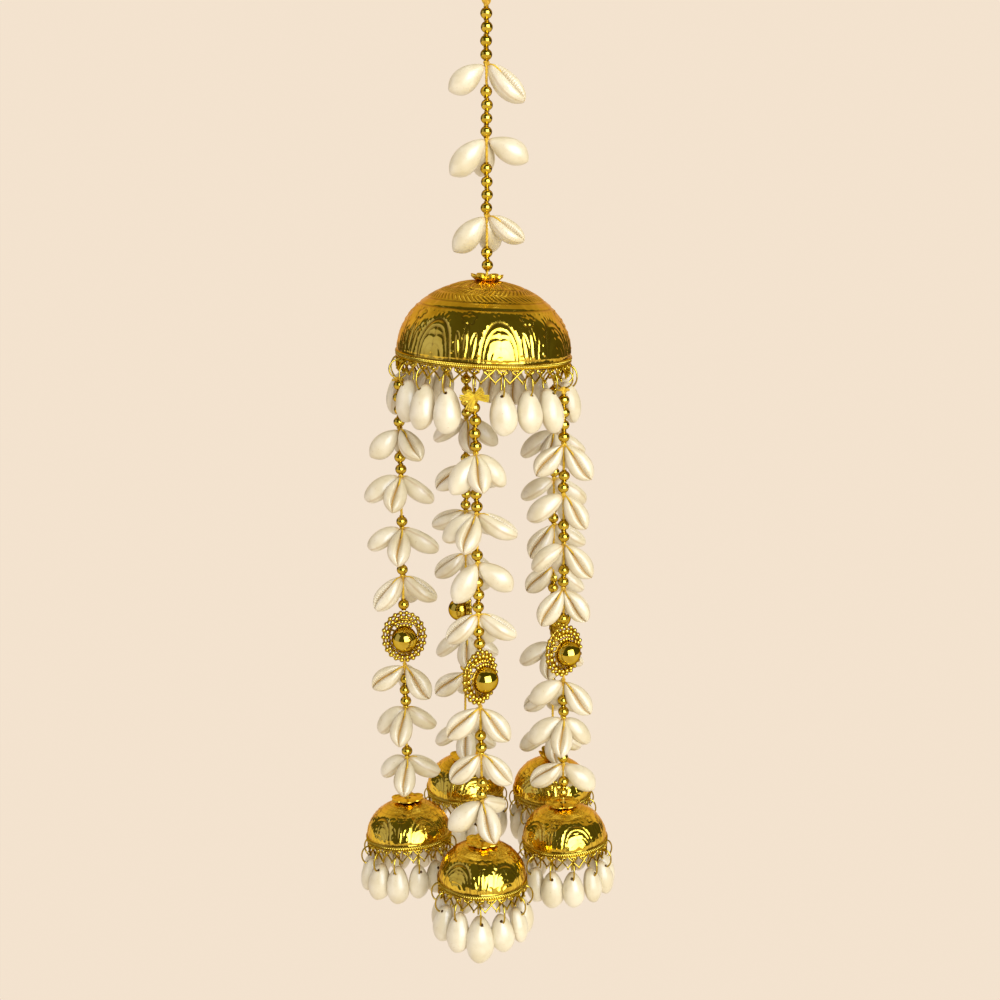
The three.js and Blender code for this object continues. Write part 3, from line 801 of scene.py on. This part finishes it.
FIRST_HANGER = math.radians(-5)
MAIN_FOOT = -MAIN_HEIGHT - 2.6
MAIN_GALLERY = 39.5
main_gallery = milgrain_band(MAIN_RADIUS, -MAIN_HEIGHT, MAIN_FOOT, grains=300)
gallery(main_gallery, MAIN_GALLERY, MAIN_FOOT, drop=6.5, hangers=20, phase=FIRST_HANGER,
        wire=1.15, heart=2.4)
bmesh.ops.transform(main_gallery, matrix=main_place, verts=main_gallery.verts)
add_piece("main_dome_gallery", main_gallery, band_gold, "gold", "main_dome")


# ---- Jump rings and cowries round the main dome ----
# Fifteen cowries are drilled near the tip, and each hangs from a crossing of the gallery
# by a jump ring of plated wire that swings freely through the drilled hole.
RING_INSIDE, RING_WIRE = 7.6, 0.8
GAP = 0.3
RING_FOOT = GAP - RING_INSIDE - RING_WIRE / 2
MAIN_STRETCH = 1.22
HOLE_DOWN, HOLE_IN = 3.3, 1.5
DRILLED_WIDTH, MAIN_DROP_WIDTH = 11.2, 12.2


def main_hanger(index):
    """Azimuth, and the top of the wire, of one crossing that carries something."""
    azimuth = FIRST_HANGER + index * math.radians(18)
    return azimuth, main_place @ at_azimuth(azimuth, MAIN_GALLERY, MAIN_FOOT - 3 + 0.45)


ring_bm = bmesh.new()
ring_radius = (RING_INSIDE + RING_WIRE) / 2
ring_turns = [0.12 + (2 * math.pi - 0.16) * step / 26 + 2.1 for step in range(27)]
wires(ring_bm, [[Vector((0, ring_radius * math.sin(turn),
                         GAP - RING_INSIDE / 2 + ring_radius * math.cos(turn)))
                 for turn in ring_turns]], RING_WIRE / 2, 8)
jump_ring = shape_of("jump_ring", ring_bm)


def drawn_tall(stretch):
    """Draws a ring a little narrower and that much taller."""
    return Matrix.Diagonal((1, 0.9, stretch, 1))


def hung(lean, length, width, turn, stretch):
    """Places a drilled shell at the foot of its stretched ring, leaning outwards at the bottom."""
    grown = length / COWRIE_LENGTH
    return (moved(0, 0, RING_FOOT * stretch) @ Matrix.Rotation(-lean, 4, "X")
            @ moved(0, HOLE_IN, HOLE_DOWN) @ Matrix.Rotation(math.pi + turn, 4, "Z")
            @ Matrix.Diagonal((width / DRILLED_WIDTH, grown, grown, 1)))


strand_hangers = (0, 4, 7, 11, 16)
main_rings, main_shells = bmesh.new(), bmesh.new()
for index in range(20):
    if index in strand_hangers:
        continue
    azimuth, point = main_hanger(index)
    swing = 0.16 * math.cos(index * 1.9)
    place = Matrix.Translation(point) @ Matrix.Rotation(azimuth + swing, 4, "Z")
    stamp(main_rings, jump_ring, place @ drawn_tall(MAIN_STRETCH))
    lean = math.radians(13 + 3 * math.cos(index * 2.4))
    length = COWRIE_LENGTH * (1 + 0.04 * math.cos(index * 1.7))
    hanging = hung(lean, length, MAIN_DROP_WIDTH, 0.25 * math.cos(index * 2.7), MAIN_STRETCH)
    stamp(main_shells, drilled_cowrie, place @ hanging)
main_drops = [f"main_drop_{n}" for n in range(1, 16)]
add_piece("main_drop_rings", main_rings, ring_gold, "gold", *main_drops)
add_piece("main_drop_cowries", main_shells, shell_white, "shell", *main_drops, levels=1)


# ---- Strands ----
# Five threads hang from the dome's gallery by jump rings. Each carries gold beads and seven
# bunches of three cowries tied by their tips, with a rosette between the fourth and the fifth.
# Below, a shell is its azimuth, fall from plumb and roll, and each row is a bunch, top down.
STRANDS = {
    "front": dict(hanger=0, foot=(-2, -45, -393.2), lean=5, roll=1, faces=45, rosette=-313.8,
                  bunches=[-213.1, -239.6, -261.3, -284.9, -328.5, -350.7, -373.3],
                  beads=[4, 2, 1, 3, 2, 0, 2, 2, 0], shells=[
        [(-58, 36, -110), (16, 37, -12), (96, 40, 160)],
        [(-90, 52, -160), (-24, 41, 18), (90, 60, -12)],
        [(-70, 32, -100), (86, 50, 70), (172, 36, 0)],
        [(-88, 47, 30), (90, 57, -10), (160, 36, 0)],
        [(-86, 46, 60), (78, 41, -58), (-170, 35, 0)],
        [(-86, 46, 42), (84, 44, -38), (172, 36, 0)],
        [(-84, 50, -110), (28, 38, -28), (150, 62, 0)]]),
    "right": dict(hanger=4, foot=(36.6, -15, -389.5), lean=6, roll=-3, faces=34, rosette=-311.2,
                  bunches=[-213, -236.4, -259.6, -281.1, -326.7, -345.4, -369],
                  beads=[4, 2, 2, 2, 1, 0, 2, 1, 2], shells=[
        [(-80, 41, 70), (78, 38, -70), (165, 50, 0)],
        [(-92, 55, -165), (70, 34, -55), (160, 36, 0)],
        [(-86, 50, 150), (76, 40, -62), (-172, 36, 0)],
        [(-74, 31, 70), (78, 36, -95), (176, 36, 0)],
        [(-92, 58, -150), (72, 41, -55), (-165, 36, 0)],
        [(-92, 55, -165), (-8, 39, 20), (104, 42, 165)],
        [(-90, 55, 35), (90, 48, 100), (168, 36, 0)]]),
    "back_right": dict(hanger=7, foot=(33.6, 34, -388.9), lean=0, roll=0, faces=100, rosette=-309,
                       bunches=[-213, -236.6, -260.2, -282.2, -323.9, -349.5, -371.5],
                       beads=[4, 1, 2, 1, 2, 0, 2, 1, 0], shells=[
        [(-95, 52, 170), (98, 52, 0), (-10, 36, 0)],
        [(-92, 58, 175), (96, 50, 20), (165, 36, 0)],
        [(-60, 40, 40), (92, 56, -10), (170, 36, 0)],
        [(-88, 44, 60), (95, 48, 0), (174, 36, 0)],
        [(-98, 56, 170), (90, 52, 10), (-12, 36, 0)],
        [(-95, 50, 20), (96, 54, -20), (170, 36, 0)],
        [(-90, 56, 170), (98, 50, 0), (10, 36, 0)]]),
    "back_left": dict(hanger=11, foot=(-12.8, 43.5, -392), lean=0, roll=0, faces=-72, rosette=-308.1,
                      bunches=[-209.5, -232.5, -256.8, -279.2, -323.2, -344.4, -374.5],
                      beads=[4, 2, 2, 1, 1, 0, 2, 1, 0], shells=[
        [(-95, 56, 170), (96, 50, 160), (15, 36, 0)],
        [(-88, 48, 60), (92, 54, 0), (170, 36, 0)],
        [(-96, 64, 20), (96, 56, 10), (-8, 36, 0)],
        [(-90, 50, 30), (92, 50, -20), (168, 36, 0)],
        [(-96, 52, 170), (94, 56, 0), (12, 36, 0)],
        [(-92, 50, 60), (92, 48, -30), (-174, 36, 0)],
        [(-94, 56, 170), (96, 52, 0), (8, 36, 0)]]),
    "left": dict(hanger=16, foot=(-39.2, -12, -388.6), lean=9, roll=-2, faces=4, rosette=-305.7,
                 bunches=[-206.9, -228.9, -253.5, -276.6, -320.5, -341.6, -367.2],
                 beads=[4, 2, 1, 1, 1, 0, 3, 1, 0], shells=[
        [(-92, 46, -110), (40, 52, -15), (168, 40, 0)],
        [(-98, 57, -165), (-14, 40, 24), (93, 50, 12)],
        [(-96, 60, -170), (-4, 42, 20), (96, 56, 15)],
        [(-78, 38, 30), (92, 53, -14), (165, 36, 0)],
        [(-84, 54, 55), (74, 38, -60), (172, 36, 0)],
        [(-112, 46, -170), (-10, 41, 18), (112, 51, 0)],
        [(-122, 52, -170), (-2, 45, 22), (118, 56, -10)]]),
}


def strand_frame(strand):
    """The strand's placing matrix, the azimuth of its hanger, and its heights down the thread."""
    azimuth, point = main_hanger(strand["hanger"])
    foot = Vector(strand["foot"])
    line = foot - point
    turn = Vector((0, 0, -1)).rotation_difference(line.normalized())

    def down(height):
        return -line.length * (point.z - height) / (point.z - foot.z)

    return Matrix.Translation(point) @ turn.to_matrix().to_4x4(), azimuth, line.length, down


wool = cotton_material("bright_yellow_wool", (0.58, 0.38, 0.004), (0.82, 0.62, 0.010))
ROSETTE_HALF = 12.3
BEAD_OVER_KNOT = 3.6
STRAND_COWRIE = 18.6
for name, strand in STRANDS.items():
    place, azimuth, length, down = strand_frame(strand)
    beads, cord, shells = bmesh.new(), bmesh.new(), bmesh.new()
    knots = [down(height) for height in strand["bunches"]]
    rosette_height = down(strand["rosette"])
    lowest = [height + BEAD_OVER_KNOT for height in knots] + [-length + 6]
    lowest.insert(4, rosette_height + ROSETTE_HALF + PITCH / 2 + 0.6)
    for count, height in zip(strand["beads"], lowest):
        for number in range(count):
            sway = 0.2 * math.cos(number * 3 + height)
            stamp(beads, bead_shape, moved(sway, 0.1, height + number * PITCH))
    upper_length = int(RING_FOOT - rosette_height - ROSETTE_HALF + 1.5)
    upper = [Vector((0, 0, RING_FOOT + 0.6 - step)) for step in range(upper_length)]
    lower_top = rosette_height - ROSETTE_HALF + 0.4
    lower = [Vector((0, 0, lower_top - step)) for step in range(int(lower_top + length + 3))]
    thread_along(cord, upper)
    thread_along(cord, lower)
    for number, height in enumerate(knots):
        knot_at(cord, 1.1, 0.44, height + 0.5, number * 1.3)
        places = []
        for row, (way, fall, roll) in enumerate(strand["shells"][number]):
            grown = STRAND_COWRIE * (1 + 0.045 * math.cos(number * 3 + row * 2 + strand["hanger"]))
            places.append(tied(way, fall, roll, grown, 0.8, height - 0.3))
            stamp(shells, cowrie, places[-1])
        shell_threads(cord, places, height + 0.5)
    knot_at(cord, 1.6, 0.6, -length - 3.4)
    if name == "front":
        tuft = bmesh.new()
        tuft_height = RING_FOOT - 2.2
        knot_at(tuft, 2.0, 0.85, tuft_height)
        for way, rise, reach in ((-70, 0.15, 6.6), (-35, -0.9, 6.0), (72, 0.10, 6.8),
                                 (60, 1.1, 6.2), (-100, 0.9, 5.0)):
            wires(tuft, brush(Vector((0, -0.6, tuft_height)), way, rise, reach, 16, 1.35), 0.36, 6)
        bmesh.ops.transform(tuft, matrix=place, verts=tuft.verts)
        add_piece("strand_front_tuft", tuft, wool, "thread", "upper_string_front")
    else:
        knot_at(cord, 1.5, 0.6, RING_FOOT - 0.9)
        for way, reach in ((-70, 3.0), (100, 2.6)):
            wires(cord, brush(Vector((0, 0, RING_FOOT - 1)), way, 0.3, reach, 6, 0.7), 0.34, 6)
    for bm in (beads, cord, shells):
        bmesh.ops.transform(bm, matrix=place, verts=bm.verts)
    both = (f"upper_string_{name}", f"lower_string_{name}")
    add_piece(f"strand_{name}_beads", beads, bead_gold, "gold", *both)
    ring = bmesh.new()
    stamp(ring, jump_ring, place @ Matrix.Rotation(azimuth, 4, "Z"))
    add_piece(f"strand_{name}_ring", ring, ring_gold, "gold", f"upper_string_{name}")
    add_piece(f"strand_{name}_cord", cord, cotton, "thread", *both)
    add_piece(f"strand_{name}_cowries", shells, shell_white, "shell", *both, levels=1)


# ---- Rosettes ----
# An oval ring of twenty-two pairs of grains soldered on wires, with short spokes of wire, two
# rows of grains and three bars inside it. A hollow polished ball stands proud in the middle.
# It is strung between the fourth and the fifth bunch.
def oval(wide, tall, forward, steps=40, lift=0.0):
    """A closed run round an oval that faces the front."""
    return [Vector((wide * math.sin(2 * math.pi * step / steps), -forward,
                    tall * math.cos(2 * math.pi * step / steps) + lift)) for step in range(steps)]


def rosette_shape():
    """One rosette, centred and facing -Y. The wires behind the grains are tarnished."""
    bm = bmesh.new()
    tarnish = bm.verts.layers.float.new("tarnish")

    def dull_wires(runs, radius, closed=False):
        for vert in wires(bm, runs, radius, 6, closed):
            vert[tarnish] = 0.85

    dull_wires([oval(9.7, 11.6, 0.0), oval(8.1, 9.9, 0.4), oval(6.9, 8.5, 0.2)], 0.55, closed=True)
    dull_wires([oval(5.6, 5.7, 1.3, 32, -0.6)], 0.5, closed=True)
    grain = bmesh.new()
    bmesh.ops.create_icosphere(grain, subdivisions=2, radius=1)
    grain_shape = shape_of("rosette_grain", grain)

    def grain_at(x, y, z, size):
        stamp(bm, grain_shape, moved(x, y, z) @ Matrix.Scale(size, 4))

    for number in range(22):
        angle = 2 * math.pi * (number + 0.5) / 22
        grain_at(9.85 * math.sin(angle), -0.3, 11.75 * math.cos(angle), 1.08)
        grain_at(8.15 * math.sin(angle), -1.1, 9.95 * math.cos(angle), 1.15)
    spokes = []
    for number in range(12):
        angle = 2 * math.pi * number / 16 + math.radians(78)
        near, far = angle - 0.22, angle + 0.22
        spokes.append([Vector((7.6 * math.sin(near), -0.3, 9.2 * math.cos(near))),
                       Vector((6.5 * math.sin(angle), -1.0, 7.1 * math.cos(angle) - 0.3)),
                       Vector((5.3 * math.sin(far), -1.5, 5.4 * math.cos(far) - 0.7))])
    dull_wires(spokes, 0.5)
    for count, wide, height, forward in ((6, 1.55, 7.6, 0.9), (5, 1.6, 6.3, 2.2)):
        for number in range(count):
            across = (number - (count - 1) / 2) * wide
            grain_at(across, -forward, height - 0.06 * across * across, 0.92)
    dull_wires([[Vector((across, -0.6, -4.9)), Vector((across * 1.3, -0.2, -9.6))]
                for across in (-1.6, 0, 1.6)], 0.5)
    ball = bmesh.new()
    bmesh.ops.create_uvsphere(ball, u_segments=40, v_segments=26, radius=6.0)
    stamp(bm, shape_of("rosette_ball", ball), moved(0.3, -3.2, -0.5))
    return shape_of("rosette", bm)


rosette = rosette_shape()
for name, strand in STRANDS.items():
    place, _, _, down = strand_frame(strand)
    bm = bmesh.new()
    stamp(bm, rosette, place @ moved(0, 0, down(strand["rosette"])) @ turned(strand["faces"], "Z"))
    add_piece(f"filigree_rosette_{name}", bm, bead_gold, "gold", f"rosette_{name}")


# ---- Small domes ----
# Five pressed and chased domes like the large one, with the same milgrain band and gallery.
# Each hangs on its strand's thread under a petal cap, so it leans as it likes.
SMALL_RADIUS, SMALL_HEIGHT = 20.3, 16.2
small_sheet = shape_of("small_sheet", dome_sheet(
    SMALL_RADIUS, SMALL_HEIGHT, wall=0.7, hole=1.4, rows=70, steps=264,
    pattern=(5, 7.0, 12.0, (0.50,)), line=0.32, depth=0.16, uneven=0.14))
SMALL_FOOT = -SMALL_HEIGHT - 2.2
SMALL_GALLERY = 19.8
small_rim = milgrain_band(SMALL_RADIUS, -SMALL_HEIGHT, SMALL_FOOT, grains=116)
gallery(small_rim, SMALL_GALLERY, SMALL_FOOT, drop=6.2, hangers=12, phase=0, wire=1.05, heart=2.1)
small_gallery = shape_of("small_gallery", small_rim)
SMALL_CAP = [(1.3, 0.2), (2.6, 0.0), (4.2, -0.2), (5.6, -0.4),
             (6.8, -0.4), (7.7, 0.0), (8.2, 0.4), (8.5, 0.5)]
small_cap = cap_shape("small_cap", SMALL_CAP, notch=0.20, grow=1.0)
flared_cap = cap_shape("flared_cap", TOP_CAP, notch=0.40, grow=1.8)


def small_place(strand):
    """Placing matrix of a small dome, crown at the strand's foot, and its outward azimuth."""
    x, y, z = strand["foot"]
    place = moved(x, y, z) @ turned(-strand["lean"], "X") @ turned(strand["roll"], "Y")
    return place, math.atan2(x, -y)


for name, strand in STRANDS.items():
    place, outwards = small_place(strand)
    cap = flared_cap if name == "back_right" else small_cap
    sheet_turn, cap_turn = math.radians(strand["hanger"] * 31), strand["hanger"] * 0.4
    for what, shape, material, node, turn in (
            ("sheet", small_sheet, chased_gold, "dome", sheet_turn),
            ("gallery", small_gallery, band_gold, "dome", outwards),
            ("petal_cap", cap, polished, "cap", cap_turn)):
        bm = bmesh.new()
        stamp(bm, shape, place @ Matrix.Rotation(turn, 4, "Z"))
        add_piece(f"small_dome_{name}_{what}", bm, material, "gold", f"{node}_{name}",
                  levels=int(what == "petal_cap"))


# ---- Fringes ----
# Twelve drilled cowries hang close together on jump rings from each small dome's gallery.
# Those that meet a neighbouring fringe hang straight, and the others lean outwards.
FRINGE_STRETCH = 1.14
for name, strand in STRANDS.items():
    dome_place, outwards = small_place(strand)
    rings, shells = bmesh.new(), bmesh.new()
    for index in range(12):
        azimuth = outwards + index * math.pi / 6
        point = dome_place @ at_azimuth(azimuth, SMALL_GALLERY, SMALL_FOOT - 3.4 + 0.4)
        room = min(math.hypot(point.x - other["foot"][0], point.y - other["foot"][1])
                   for key, other in STRANDS.items() if key != name)
        lean = math.radians(15) * max(0.0, min(1.0, (room - 27) / 18))
        swing = 0.22 * math.cos(index * 2.3 + strand["hanger"])
        place = Matrix.Translation(point) @ Matrix.Rotation(azimuth, 4, "Z")
        stamp(rings, jump_ring, place @ Matrix.Rotation(swing, 4, "Z") @ drawn_tall(FRINGE_STRETCH))
        size = 1 + 0.05 * math.cos(index * 1.7 + strand["hanger"])
        length, width = (21, 13) if name == "front" and index == 0 else (17.3 * size, 10.8 * size)
        turn = 0.3 * math.cos(index * 3.1 + strand["hanger"])
        stamp(shells, drilled_cowrie, place @ hung(lean, length, width, turn, FRINGE_STRETCH))
    add_piece(f"fringe_{name}_rings", rings, ring_gold, "gold", f"fringe_{name}")
    add_piece(f"fringe_{name}_cowries", shells, shell_white, "shell", f"fringe_{name}", levels=1)
